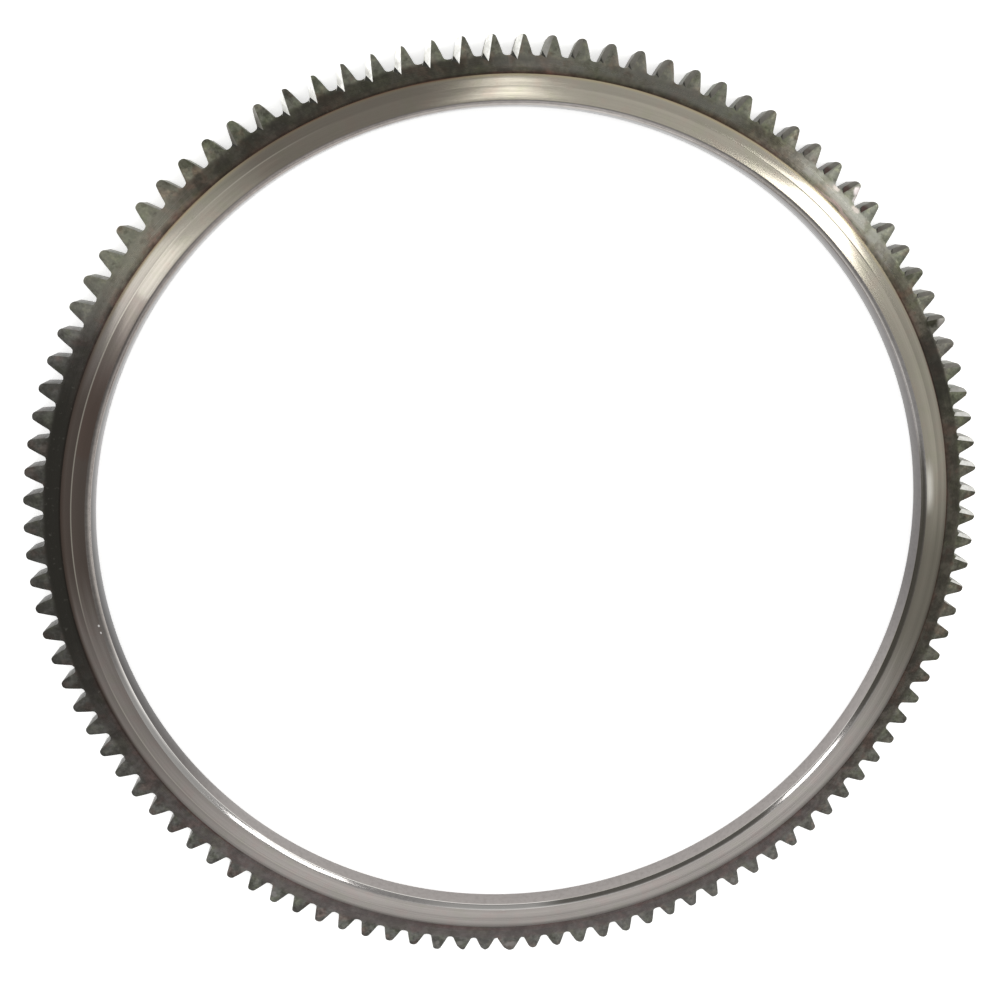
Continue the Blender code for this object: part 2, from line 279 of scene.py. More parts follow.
class RingGearSizes(bpy.types.PropertyGroup):
    """Sizes of the ring"""

    tip_radius: bpy.props.FloatProperty(
        name="Tip radius", description="Axis to the tips of the teeth",
        default=NODE_HIGH.x, unit="LENGTH", precision=5)
    ring_width: bpy.props.FloatProperty(
        name="Width", description="Back face to bright face",
        default=NODE_HIGH.z, unit="LENGTH", precision=5)
    tooth_depth: bpy.props.FloatProperty(
        name="Tooth depth", description="Tip circle to root circle",
        default=0.00526, unit="LENGTH", precision=5)
    toothed_band: bpy.props.FloatProperty(
        name="Toothed band", description="Plain width between the root circle and the step",
        default=0.00450, unit="LENGTH", precision=5)
    outer_band: bpy.props.FloatProperty(
        name="Outer band", description="Bright face outside the tool line",
        default=0.00290, unit="LENGTH", precision=5)
    inner_band: bpy.props.FloatProperty(
        name="Inner band", description="Bright face inside the tool line",
        default=0.00370, unit="LENGTH", precision=5)
    tool_line_width: bpy.props.FloatProperty(
        name="Tool line width", description="Width of the fine groove in the bright face",
        default=0.00030, unit="LENGTH", precision=5)
    tool_line_depth: bpy.props.FloatProperty(
        name="Tool line depth", description="Depth of the fine groove in the bright face",
        default=0.00003, unit="LENGTH", precision=5)
    bore_chamfer: bpy.props.FloatProperty(
        name="Bore chamfer", description="Width of the chamfer at the mouth of the bore",
        default=0.00120, unit="LENGTH", precision=5)
    bore_chamfer_depth: bpy.props.FloatProperty(
        name="Chamfer depth", description="Depth of the chamfer at the mouth of the bore",
        default=0.00130, unit="LENGTH", precision=5)
    back_chamfer: bpy.props.FloatProperty(
        name="Back chamfer", description="Edge break at the back of the bore",
        default=0.00040, unit="LENGTH", precision=5)
    face_step: bpy.props.FloatProperty(
        name="Step", description="Bright face down to the toothed band",
        default=0.00050, unit="LENGTH", precision=5)
    step_run: bpy.props.FloatProperty(
        name="Step run", description="How far the step's wall leans outwards",
        default=0.00012, unit="LENGTH", precision=5)
    tip_round: bpy.props.FloatProperty(
        name="Tip rounding", description="Reach of the rounding at a tooth's tip corners",
        default=0.00085, unit="LENGTH", precision=5)
    root_round: bpy.props.FloatProperty(
        name="Root fillet", description="Reach of the fillet at a tooth's foot",
        default=0.00080, unit="LENGTH", precision=5)
    edge_break: bpy.props.FloatProperty(
        name="Edge break", description="Width of the small bevel on the sharp edges",
        default=0.00012, unit="LENGTH", precision=5)


class RingGearFinish(bpy.types.PropertyGroup):
    """Colours and gloss of the steel"""

    bright_steel: bpy.props.FloatVectorProperty(
        name="Bright steel", description="Turned face",
        default=(0.560, 0.520, 0.488), subtype="COLOR", min=0, max=1)
    brown_film: bpy.props.FloatVectorProperty(
        name="Brown film", description="Oil and heat film over the turned face",
        default=(0.086, 0.067, 0.056), subtype="COLOR", min=0, max=1)
    olive_film: bpy.props.FloatVectorProperty(
        name="Olive film", description="Thinner oil film over the turned face",
        default=(0.150, 0.138, 0.108), subtype="COLOR", min=0, max=1)
    hardened_steel: bpy.props.FloatVectorProperty(
        name="Hardened steel", description="Toothed band",
        default=(0.150, 0.134, 0.126), subtype="COLOR", min=0, max=1)
    tooth_steel: bpy.props.FloatVectorProperty(
        name="Tooth steel", description="Ends of the teeth",
        default=(0.212, 0.208, 0.194), subtype="COLOR", min=0, max=1)
    # Painted light: lead-ins painted near white where they catch the lamps
    lit_ground_steel: bpy.props.FloatVectorProperty(
        name="Ground steel", description="Lead-ins worn by the starter",
        default=(0.980, 0.975, 0.930), subtype="COLOR", min=0, max=1)
    # Painted shade: lead-ins painted dark outside the lit stretches
    shaded_ground_steel: bpy.props.FloatVectorProperty(
        name="Shaded ground steel", description="Lead-ins that have tarnished",
        default=(0.160, 0.152, 0.130), subtype="COLOR", min=0, max=1)
    # Painted shadow on the wall at the inner end of a lead-in
    painted_wall_shadow: bpy.props.FloatVectorProperty(
        name="Painted wall shadow", description="Wall at the inner end of a lead-in",
        default=(0.030, 0.029, 0.022), subtype="COLOR", min=0, max=1)
    oily_steel: bpy.props.FloatVectorProperty(
        name="Oily steel", description="Darkest stretch of the toothed band",
        default=(0.026, 0.024, 0.019), subtype="COLOR", min=0, max=1)
    red_tint: bpy.props.FloatVectorProperty(
        name="Red heat tint", description="Thin line beside the step",
        default=(0.170, 0.075, 0.050), subtype="COLOR", min=0, max=1)
    straw_tint: bpy.props.FloatVectorProperty(
        name="Straw heat tint", description="Edge of the bright face",
        default=(0.520, 0.440, 0.260), subtype="COLOR", min=0, max=1)
    pink_tint: bpy.props.FloatVectorProperty(
        name="Pink heat tint", description="Tinge on the inner side of the toothed band",
        default=(0.300, 0.215, 0.200), subtype="COLOR", min=0, max=1)
    bore_steel: bpy.props.FloatVectorProperty(
        name="Bore steel", description="Bore",
        default=(0.290, 0.268, 0.258), subtype="COLOR", min=0, max=1)
    chamfer_steel: bpy.props.FloatVectorProperty(
        name="Chamfer steel", description="Chamfer at the mouth of the bore",
        default=(0.740, 0.705, 0.680), subtype="COLOR", min=0, max=1)
    gloss_roughness: bpy.props.FloatProperty(
        name="Roughness", description="Of the turned face", default=0.15, min=0, max=1)
    anisotropy: bpy.props.FloatProperty(
        name="Anisotropy", description="Stretch of the highlights across the turning marks",
        default=0.75, min=0, max=1)


class RingGearStage(bpy.types.PropertyGroup):
    """Floor, light and camera"""

    floor_colour: bpy.props.FloatVectorProperty(
        name="Floor", description="Colour of the floor",
        default=(0.93, 0.93, 0.92), subtype="COLOR", min=0, max=1)
    floor_glow: bpy.props.FloatProperty(
        name="Floor glow", description="Light that the camera sees the floor give off",
        default=0.50, min=0)
    sky_level: bpy.props.FloatProperty(
        name="Sky level", description="Light from all round", default=0.80, min=0)
    overhead_level: bpy.props.FloatProperty(
        name="Overhead level", description="What polished steel sees high up",
        default=0.76, min=0)
    zenith_drop: bpy.props.FloatProperty(
        name="Zenith drop", description="How much dimmer polished steel sees the very top",
        default=0.18, min=0)
    ceiling_edge_level: bpy.props.FloatProperty(
        name="Wall level", description="What polished steel sees between horizon and ceiling",
        default=0.28, min=0)
    lamp_level: bpy.props.FloatProperty(
        name="Lamp level", description="Brightness of all the lamps", default=1.0, min=0)
    lens: bpy.props.FloatProperty(
        name="Lens", description="Focal length in millimetres", default=39.135, min=1)


class Radii:
    """Radii of the section, worked out from the sizes."""

    def __init__(self, sizes):
        self.tip = sizes.tip_radius
        self.root = self.tip - sizes.tooth_depth
        self.step = self.root - sizes.toothed_band
        self.line = self.step - sizes.outer_band
        self.face_inner = self.line - sizes.inner_band
        self.bore = self.face_inner - sizes.bore_chamfer


def involute(angle):
    return math.tan(angle) - angle


def half_tooth(radius):
    """Half the tooth's thickness at a radius, as an angle about the ring's axis."""
    pitch_half = (math.pi * MODULE / 2 - BACKLASH) / 2 / PITCH_RADIUS
    pressure = math.acos(min(1.0, BASE_RADIUS / radius))
    return pitch_half + involute(PRESSURE_ANGLE) - involute(pressure)


def placed(x, y, z, place):
    """Matrix that puts a thing at a place, with its X, Y and Z along the given vectors."""
    made = Matrix.Identity(4)
    for number, column in enumerate((x, y, z, place)):
        made.col[number].xyz = column
    return made


def add_object(name, data):
    made = bpy.data.objects.new(name, data)
    bpy.context.scene.collection.objects.link(made)
    return made


def leave_edit_mode():
    if bpy.context.object and bpy.context.object.mode != "OBJECT":
        bpy.ops.object.mode_set(mode="OBJECT")


def deselect_everything():
    leave_edit_mode()
    bpy.ops.object.select_all(action="DESELECT")


def select_all():
    bpy.ops.mesh.select_all(action="SELECT")


def work_on(thing):
    """Makes a piece the only selected one, ready for operators."""
    deselect_everything()
    thing.select_set(True)
    bpy.context.view_layer.objects.active = thing


def select_vertices(thing, test):
    """In edit mode, selects the vertices whose place passes the test."""
    work = bmesh.from_edit_mesh(thing.data)
    for face in work.faces:
        face.select = False
    for edge in work.edges:
        edge.select = False
    for vertex in work.verts:
        vertex.select = test(vertex.co)
    work.select_flush(True)
    bmesh.update_edit_mesh(thing.data)


def section_outline(sizes, radii):
    """Corners of the turned section, once round."""
    line_half = sizes.tool_line_width / 2
    top = sizes.ring_width
    band = top - sizes.face_step
    return (
        (radii.face_inner, top),
        (radii.line - line_half, top),
        (radii.line, top - sizes.tool_line_depth),
        (radii.line + line_half, top),
        (radii.step - sizes.step_run, top),
        (radii.step, band),
        (radii.root, band),
        (radii.root, 0.0),
        (radii.bore + sizes.back_chamfer, 0.0),
        (radii.bore, sizes.back_chamfer),
        (radii.bore, top - sizes.bore_chamfer_depth),
    )


def add_turned_body(sizes, radii):
    """The section drawn by extruding one corner to the next, then spun about the axis."""
    outline = section_outline(sizes, radii)
    start = outline[0]
    bpy.ops.mesh.primitive_plane_add(size=START_PLANE, location=(start[0], 0.0, start[1]))
    body = bpy.context.object
    body.name = "Turned ring"
    bpy.ops.object.transform_apply(location=True, rotation=True, scale=True)
    bpy.ops.object.mode_set(mode="EDIT")
    bpy.ops.mesh.select_mode(type="VERT")
    select_all()
    bpy.ops.mesh.merge(type="CENTER")
    for before, after in zip(outline, outline[1:] + outline[:1]):
        step = (after[0] - before[0], 0.0, after[1] - before[1])
        bpy.ops.mesh.extrude_vertices_move(TRANSFORM_OT_translate={"value": step})
    select_all()
    bpy.ops.mesh.remove_doubles(threshold=CLEAR)
    bpy.ops.mesh.spin(steps=SPIN_STEPS, angle=2 * math.pi, center=(0, 0, 0), axis=(0, 0, 1))
    select_all()
    bpy.ops.mesh.remove_doubles(threshold=CLEAR)
    bpy.ops.mesh.normals_make_consistent(inside=False)
    leave_edit_mode()
    return body


def tooth_levels(sizes, radii):
    """Radius and half width of a tooth at each level, from inside the body to the tip."""
    foot = radii.root + sizes.root_round
    foot_half = half_tooth(foot) * foot
    wide = half_tooth(radii.root) * radii.root + sizes.root_round
    corner = half_tooth(radii.root) * radii.root
    levels = [(radii.root - FOOT_OVERLAP, wide)]
    for step in range(FOOT_LEVELS):
        share = step / FOOT_LEVELS
        radius = radii.root + (foot - radii.root) * share * share - FOOT_DIP * (1 - share)
        half = wide + (corner - wide) * (1 - (1 - share) ** 2) + (foot_half - corner) * share ** 2
        levels.append((radius, half))
    for step in range(FLANK_LEVELS + 1):
        radius = foot + (radii.tip - foot) * step / FLANK_LEVELS
        levels.append((radius, half_tooth(radius) * radius))
    return levels


def add_tooth(sizes, radii):
    """One tooth: a block cut at its levels, each level narrowed to the involute."""
    levels = tooth_levels(sizes, radii)
    inner = levels[0][0]
    height = sizes.ring_width - sizes.face_step
    bpy.ops.mesh.primitive_cube_add(size=1.0, location=((inner + radii.tip) / 2, 0.0, height / 2))
    tooth = bpy.context.object
    tooth.name = "Teeth"
    tooth.scale = (radii.tip - inner, 2.0 * levels[0][1], height)
    bpy.ops.object.transform_apply(location=True, rotation=True, scale=True)
    bpy.ops.object.mode_set(mode="EDIT")
    bpy.ops.mesh.select_mode(type="VERT")
    for radius, _ in levels[1:-1]:
        select_all()
        bpy.ops.mesh.bisect(plane_co=(radius, 0.0, 0.0), plane_no=(1.0, 0.0, 0.0))
    for radius, half in levels[1:]:
        select_vertices(tooth, lambda place: abs(place.x - radius) < CLEAR)
        bpy.ops.transform.resize(value=(1.0, half / levels[0][1], 1.0),
                                 center_override=(radius, 0.0, 0.0))
    bpy.ops.mesh.select_mode(type="EDGE")
    bpy.ops.mesh.select_all(action="DESELECT")
    work = bmesh.from_edit_mesh(tooth.data)
    for edge in work.edges:
        ends = [vertex.co for vertex in edge.verts]
        upright = abs(ends[0].z - ends[1].z) > height / 2
        edge.select = upright and all(end.x > radii.tip - CLEAR for end in ends)
    bmesh.update_edit_mesh(tooth.data)
    bpy.ops.mesh.bevel(offset=sizes.tip_round, offset_type="OFFSET", segments=TIP_ROUND_STEPS,
                       affect="EDGES")
    select_all()
    bpy.ops.mesh.normals_make_consistent(inside=False)
    last = TOOTH_COUNT - 1
    bpy.ops.mesh.spin(steps=last, dupli=True, angle=last * TOOTH_ANGLE,
                      center=(0, 0, 0), axis=(0, 0, 1))
    leave_edit_mode()
    return tooth


def batter_teeth(teeth, radii):
    """Hammers the worn tips down and spreads the halves of those teeth."""
    tip_half = half_tooth(radii.tip)
    for vertex in teeth.data.vertices:
        place = vertex.co
        radius = math.hypot(place.x, place.y)
        angle = math.atan2(place.y, place.x)
        index = round(angle / TOOTH_ANGLE)
        drop, left_slant, left_spread, right_slant, right_spread = BATTERED_TEETH.get(
            index % TOOTH_COUNT, WHOLE_TOOTH)
        offset = angle - index * TOOTH_ANGLE
        slant, spread = (right_slant, right_spread) if offset < 0 else (left_slant, left_spread)
        up = max(0.0, min(1.0, (radius - radii.root) / (radii.tip - radii.root)))
        radius -= (drop + slant * min(1.0, abs(offset) / tip_half)) * up
        room = TOOTH_ANGLE * TOOTH_ROOM
        offset = max(-room, min(room, offset * spread))
        place.x = radius * math.cos(index * TOOTH_ANGLE + offset)
        place.y = radius * math.sin(index * TOOTH_ANGLE + offset)


def lead_in_course(degrees):
    """The crest's values at a place round the ring, or None where there is no lead-in."""
    for before, after in zip(LEAD_IN_COURSE, LEAD_IN_COURSE[1:]):
        if before[0] < degrees < after[0]:
            share = (degrees - before[0]) / (after[0] - before[0])
            return [low + (high - low) * share for low, high in zip(before[1:], after[1:])]
    return None


def lead_in_block(sizes, radii, sink, root_offset, tip_offset, lift):
    """Matrix of the skewed block that cuts one lead-in into the tooth on +X."""
    height = sizes.ring_width - sizes.face_step + lift
    crest_start = Vector((radii.root - sink, root_offset, height))
    crest_end = Vector((radii.tip, tip_offset, height))
    along = (crest_end - crest_start).normalized()
    across = Vector((-along.y, along.x, 0.0))
    down = across * math.cos(LEAD_IN_SLOPE) - Vector((0, 0, 1)) * math.sin(LEAD_IN_SLOPE)
    wall_edge = Vector((math.sin(LEAD_IN_WALL_SKEW), math.cos(LEAD_IN_WALL_SKEW), 0.0))
    inwards = Vector((-wall_edge.y, wall_edge.x, 0.0))
    up = inwards * math.sin(LEAD_IN_WALL_LEAN) + Vector((0, 0, 1)) * math.cos(LEAD_IN_WALL_LEAN)
    foot = along.cross(down).cross(wall_edge.cross(up)).normalized()
    if foot.y < 0:
        foot.negate()
    length = (crest_end - crest_start).length + LEAD_IN_OVERRUN
    sides = (along * length, foot * (LEAD_IN_WIDTH + LEAD_IN_MARGIN), up * LEAD_IN_WIDTH * 2)
    corner = crest_start - foot * LEAD_IN_MARGIN
    return placed(*sides, corner + (sides[0] + sides[1] + sides[2]) / 2)


def add_lead_in_cutter(sizes, radii):
    """One skewed block for each tooth that has a lead-in."""
    work = bmesh.new()
    for index in range(-TOOTH_COUNT // 2, TOOTH_COUNT // 2):
        degrees = math.degrees(index * TOOTH_ANGLE)
        course = lead_in_course(degrees)
        if course is None:
            continue
        turn = Matrix.Rotation(index * TOOTH_ANGLE, 4, "Z")
        block = turn @ lead_in_block(sizes, radii, *course)
        made = bmesh.ops.create_cube(work, size=1.0, matrix=block)
        wall = block.translation - block.col[0].xyz / 2
        faces = {face for vertex in made["verts"] for face in vertex.link_faces}
        nearest = min(faces, key=lambda face: (face.calc_center_median() - wall).length)
        # Walls counter-clockwise of the limit carry the painted wall shadow
        nearest.material_index = 1 if degrees > SHADOWED_WALLS_FROM else 0
    bmesh.ops.recalc_face_normals(work, faces=work.faces)
    mesh = bpy.data.meshes.new("Lead-in cutter")
    work.to_mesh(mesh)
    work.free()
    return add_object("Lead-in cutter", mesh)


def cut(target, tool, operation):
    """Applies a boolean, with the tool's materials on the faces it makes, and removes the tool."""
    work_on(target)
    boolean = target.modifiers.new("Cut", "BOOLEAN")
    boolean.operation = operation
    boolean.solver = "EXACT"
    boolean.object = tool
    boolean.material_mode = "TRANSFER"
    bpy.ops.object.modifier_apply(modifier=boolean.name)
    bpy.data.objects.remove(tool, do_unlink=True)


def break_edges(thing, width):
    work_on(thing)
    bevel = thing.modifiers.new("Edge break", "BEVEL")
    bevel.width = width
    bevel.segments = BEVEL_STEPS
    bevel.limit_method = "ANGLE"
    bevel.angle_limit = BEVEL_FROM
    bevel.miter_outer = "MITER_ARC"
    bpy.ops.object.modifier_apply(modifier=bevel.name)
    bpy.ops.object.shade_smooth_by_angle(angle=SMOOTH_UP_TO)


class Tree:
    """Short calls for building one node tree."""

    def __init__(self, tree):
        self.tree = tree
        tree.nodes.clear()

    def node(self, kind, values=None, **settings):
        """Adds a node; values go to its sockets, by their names or numbers."""
        made = self.tree.nodes.new(kind)
        for name, setting in settings.items():
            setattr(made, name, setting)
        for name, value in (values or {}).items():
            socket = made.inputs[name]
            if isinstance(value, bpy.types.NodeSocket):
                self.tree.links.new(value, socket)
            elif socket.type == "RGBA":
                socket.default_value = (*value[:3], 1.0)
            else:
                socket.default_value = value
        return made

    def math(self, operation, first, second=0.0, third=0.0):
        return self.node("ShaderNodeMath", {0: first, 1: second, 2: third},
                         operation=operation).outputs[0]

    def times(self, first, *others):
        for other in others:
            first = self.math("MULTIPLY", first, other)
        return first

    def greatest(self, first, *others):
        for other in others:
            first = self.math("MAXIMUM", first, other)
        return first

    def outside(self, mask):
        return self.math("SUBTRACT", 1.0, mask)

    def vector(self, operation, first, second=(0.0, 0.0, 0.0)):
        made = self.node("ShaderNodeVectorMath", {0: first, 1: second}, operation=operation)
        return made.outputs["Value" if operation in ("LENGTH", "DOT_PRODUCT") else "Vector"]

    def combine(self, x, y, z):
        return self.node("ShaderNodeCombineXYZ", {0: x, 1: y, 2: z}).outputs[0]

    def separate(self, vector):
        return self.node("ShaderNodeSeparateXYZ", {0: vector}).outputs

    def ramp(self, value, start, end, low=0.0, high=1.0):
        """Smooth change from low to high as a value goes from start to end."""
        values = {"Value": value, "From Min": start, "From Max": end,
                  "To Min": low, "To Max": high}
        return self.node("ShaderNodeMapRange", values,
                         interpolation_type="SMOOTHSTEP").outputs[0]

    def noise(self, vector, scale, detail, roughness):
        values = {"Vector": vector, "Scale": scale, "Detail": detail, "Roughness": roughness}
        return self.node("ShaderNodeTexNoise", values).outputs["Fac"]

    def mix(self, factor, first, second, blend="MIX"):
        return self.node("ShaderNodeMix", {0: factor, 6: first, 7: second},
                         data_type="RGBA", blend_type=blend).outputs[2]

    def tint(self, factor, colour, tint):
        return self.mix(factor, colour, tint, "MULTIPLY")

    def choose(self, factor, first, second):
        """Mixes two plain numbers."""
        return self.node("ShaderNodeMix", {0: factor, 2: first, 3: second},
                         data_type="FLOAT").outputs[0]

    def bump(self, height, strength):
        values = {"Strength": strength, "Distance": BUMP_DEPTH, "Height": height}
        return self.node("ShaderNodeBump", values).outputs[0]

    def surface(self, values):
        """Principled shader, joined to the material's output."""
        shader = self.node("ShaderNodeBsdfPrincipled", values)
        self.node("ShaderNodeOutputMaterial", {"Surface": shader.outputs[0]})

    def sector_from(self, outward, stretch, shift=None):
        """1 inside a stretch of the ring, 0 outside it."""
        degrees, half, soft = stretch
        angle = math.radians(degrees)
        middle = (math.cos(angle), math.sin(angle), 0.0)
        towards = self.vector("DOT_PRODUCT", outward, middle)
        away = self.math("ARCCOSINE", self.math("MINIMUM", towards, 1.0))
        if shift is not None:
            away = self.math("ADD", away, shift)
        return self.ramp(away, math.radians(half - soft / 2), math.radians(half + soft / 2),
                         1.0, 0.0)


class SteelTree(Tree):
    """Node tree that knows the places on the ring and the grain of its steel."""

    def __init__(self, tree, radii):
        super().__init__(tree)
        place = self.node("ShaderNodeTexCoord").outputs["Object"]
        x, y, self.height = self.separate(place)
        self.flat = self.combine(x, y, 0.0)
        self.radius = self.vector("LENGTH", self.flat)
        self.outward = self.vector("NORMALIZE", self.flat)
        self.blotches = self.noise(place, *BLOTCHES)
        self.mottle = self.noise(place, *MOTTLE)
        self.speckle = self.noise(place, *SPECKLE)
        self.grime = self.noise(place, *GRIME)
        self.streaks = self.streaks_round(*FINE_STREAKS)
        self.wide_streaks = self.streaks_round(*WIDE_STREAKS)
        hues = self.noise(place, *HUES)
        self.reddish = self.ramp(hues, 0.52, 0.66)
        self.greenish = self.ramp(hues, 0.48, 0.34)
        self.mouth = self.ramp(self.radius, radii.face_inner + 0.00005,
                               radii.face_inner - 0.00005)
        self.toothed = self.ramp(self.radius, radii.step - 0.00016, radii.step + 0.00004)
        self.teeth = self.ramp(self.radius, radii.root - 0.0010, radii.root + 0.0008)
        self.top_right = self.sector(TOP_RIGHT)

    def streaks_round(self, along, across, detail, roughness):
        """Noise drawn out round the ring."""
        x, y, _ = self.separate(self.outward)
        place = self.combine(self.times(x, along), self.times(y, along),
                             self.times(self.radius, across))
        return self.noise(place, 1.0, detail, roughness)

    def sector(self, stretch, ragged=0.0):
        shift = None
        if ragged:
            shift = self.math("MULTIPLY_ADD", self.wide_streaks, ragged, -ragged / 2)
        return self.sector_from(self.outward, stretch, shift)

    def near(self, radius, full, none):
        """1 up to a first distance from a radius, 0 from a second one on."""
        away = self.math("ABSOLUTE", self.math("SUBTRACT", self.radius, radius))
        return self.ramp(away, full, none, 1.0, 0.0)

    def spot(self, degrees, at_radius, reach, longer):
        """1 in the middle of a mark, 0 beyond its uneven edge."""
        angle = math.radians(degrees)
        outwards = (math.cos(angle), math.sin(angle), 0.0)
        sideways = (-outwards[1], outwards[0], 0.0)
        middle = tuple(at_radius * part for part in outwards)
        offset = self.vector("SUBTRACT", self.flat, middle)
        across = self.vector("DOT_PRODUCT", offset, outwards)
        along = self.vector("DOT_PRODUCT", offset, sideways)
        reduced = self.combine(across, self.math("DIVIDE", along, longer), 0.0)
        away = self.math("MULTIPLY_ADD", self.grime, reach * 0.8, self.vector("LENGTH", reduced))
        return self.ramp(away, reach * 0.8, reach * 1.4, 1.0, 0.0)


def new_material(name):
    material = bpy.data.materials.new(name)
    material.use_nodes = True
    return material


def dimmed(colour, share):
    return tuple(part * share for part in colour)


def bright_face_colour(tree, finish, radii):
    """Turned face with heat tints, films of oil and the tool line."""
    mix, tint, times, ramp, sector = tree.mix, tree.tint, tree.times, tree.ramp, tree.sector
    radius, line, step = tree.radius, radii.line, radii.step
    bright = finish.bright_steel
    face = mix(ramp(tree.streaks, 0.35, 0.68), bright, dimmed(bright, 0.92))
    face = mix(ramp(tree.blotches, 0.45, 0.75, 0.0, 0.30), face, dimmed(bright, 0.80))
    face = tint(times(tree.reddish, 0.5), face, (1.03, 0.95, 0.95))
    face = tint(times(tree.greenish, 0.5), face, (0.96, 1.00, 0.93))
    outer = ramp(radius, line - 0.0002, line + 0.0002)
    face = mix(times(outer, 0.15), face, (0.0, 0.0, 0.0))
    face = tint(tree.top_right, face, (1.0, 1.0, 0.88))

    # Straw heat tint along the step, where the ring was heated most
    edge = tree.math("MULTIPLY_ADD", tree.wide_streaks, 0.0007, step - 0.00085)
    past_edge = tree.math("SUBTRACT", radius, edge)
    straw = times(ramp(past_edge, -0.0006, 0.0002), sector(STRAW_EDGE))
    face = mix(times(straw, 0.66), face, finish.straw_tint)

    for colour, stretch, ragged, strength in FILMS:
        film = times(sector(stretch, ragged), strength)
        face = mix(film, face, getattr(finish, colour))
    inside_line = ramp(radius, line, line - 0.0004)
    inner_brown = times(sector(INNER_BROWN, 0.05), inside_line, 0.36)
    red_brown = tuple(part * red for part, red in zip(finish.brown_film, RED_BROWN_TINT))
    face = mix(inner_brown, face, red_brown)
    glint = times(
        sector(GLINTING, 0.05),
        ramp(radius, line - 0.0008, line - 0.0030),
        ramp(tree.streaks, 0.30, 0.60, 0.60, 1.0),
        0.75)
    face = mix(glint, face, GLINT)

    # The tool line catches the light at the left and is dark inside the highlights
    on_line = tree.near(line, 0.00008, 0.00022)
    lit = tree.greatest(sector(LIT_LINE), times(sector(DIMLY_LIT_LINE), 0.7))
    face = mix(times(lit, on_line, 0.42), face, LINE_IN_LIGHT)
    face = mix(times(on_line, sector(DARK_LINE), 0.85), face, LINE_IN_SHADE)

    red = times(
        ramp(past_edge, 0.0001, 0.0005),
        tree.math("MULTIPLY_ADD", sector(REDDEST), 0.60, 0.20),
        ramp(sector(LIT_STEP), 0.0, 1.0, 1.0, 0.22))
    face = mix(red, face, finish.red_tint)
    soot = times(ramp(past_edge, -0.0008, 0.0004), sector(SOOTY), 0.95)
    return mix(soot, face, SOOT)


def mouth_colour(tree, finish, radii, sizes):
    """Chamfer and bore, with a painted shade line along the chamfer's inner edge."""
    mix, tint, times, ramp, sector = tree.mix, tree.tint, tree.times, tree.ramp, tree.sector
    grain = ramp(tree.grime, 0.40, 0.70)
    chamfer = mix(grain, finish.chamfer_steel, dimmed(finish.chamfer_steel, 0.85))
    # Painted shade: the chamfer darkened over these stretches
    for stretch, shade in CHAMFER_PAINTED_SHADE:
        chamfer = tint(sector(stretch), chamfer, shade)
    # Painted highlight: the chamfer lightened over two stretches beside the lamps' highlights
    pale = tree.greatest(*(sector(stretch) for stretch in LIT_CHAMFER))
    chamfer = mix(pale, chamfer, PAINTED_CHAMFER_LIGHT)
    # Painted shade: a dark line along the chamfer's inner edge, where it reflects darker
    # surroundings
    shade_line = tree.greatest(*(times(sector(stretch), share) for stretch, share in CHAMFER_SHADE_LINE))
    shade_line_edge = tree.math("MULTIPLY_ADD", tree.wide_streaks, 0.0004, radii.face_inner - 0.0006)
    past_edge = tree.math("SUBTRACT", tree.radius, shade_line_edge)
    shade_line = times(shade_line, ramp(past_edge, 0.0004, -0.0001))
    chamfer = mix(times(shade_line, 0.90), chamfer, PAINTED_LINE_SHADE)

    corner_height = sizes.ring_width - sizes.bore_chamfer_depth
    corner = ramp(tree.height, corner_height + 0.0003, corner_height)
    # Painted light over the bottom stretch of the corner, lifting a dark reflected line there
    corner_light = times(corner, sector(LIT_CORNER), tree.outside(shade_line))
    chamfer = mix(corner_light, chamfer, PAINTED_CORNER_LIGHT)
    # Painted shade over the upper right stretch of the corner
    corner_shade = times(corner, sector(SHADED_CORNER))
    chamfer = tint(corner_shade, chamfer, CORNER_SHADE_TINT)

    bore = mix(grain, finish.bore_steel, dimmed(finish.bore_steel, 0.86))
    # Painted shade: the bore darkened over these stretches
    for stretch, shade in BORE_PAINTED_SHADE:
        bore = tint(sector(stretch), bore, shade)
    in_bore = ramp(tree.height, corner_height - 0.0001, corner_height - 0.0004)
    return mix(in_bore, chamfer, bore)


